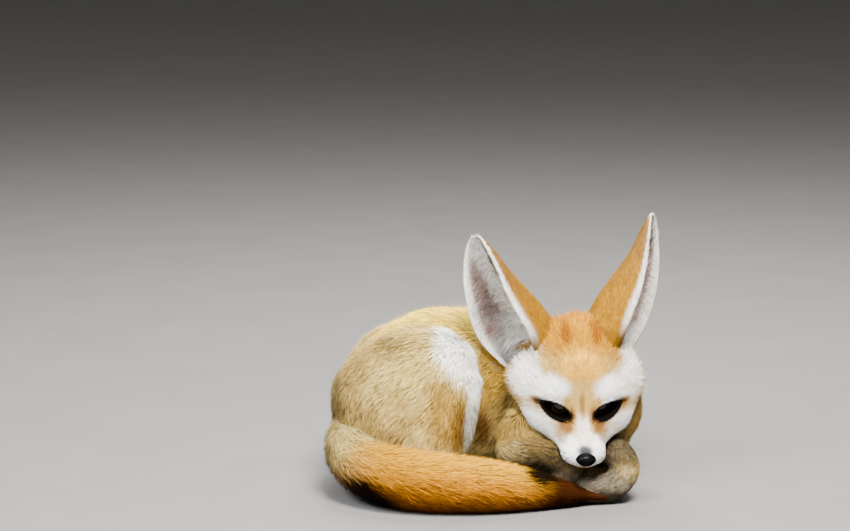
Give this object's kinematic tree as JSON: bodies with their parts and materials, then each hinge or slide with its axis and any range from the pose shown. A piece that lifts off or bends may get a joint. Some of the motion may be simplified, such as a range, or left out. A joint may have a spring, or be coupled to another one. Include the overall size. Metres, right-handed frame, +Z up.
{
  "type": "fennec fox",
  "caption": "Fennec fox lying curled up, head raised and turned forward, large ears spread, bushy tail swept round in front of the paws.",
  "frame": {"origin": "bottom centre of the bounding box, on the floor that the animal lies on", "axes": "+Z up, -Y towards the viewer of the picture (the way the face looks), +X towards the animal's left (right in the picture)"},
  "size_m": [0.2216, 0.1846, 0.1818],
  "materials": {
    "coat": "short dense fur, pale sandy",
    "ear_coat": "fine short fur over thin skin",
    "brush": "long bushy fur, orange",
    "eye": "wet, near black",
    "nose_skin": "moist, finely bumpy, black"
  },
  "bodies": {
    "root": {"head": "coat", "nose_pad": "nose_skin", "eye_left": "eye", "eye_right": "eye", "ear_left": "ear_coat", "ear_right": "ear_coat", "neck": "coat", "torso": "coat", "hindleg_right": "coat", "hindleg_left": "coat", "foreleg_right": "coat", "foreleg_left": "coat", "tail_base": "brush", "tail_middle": "brush", "tail_tip": "brush"}
  },
  "joints": []
}
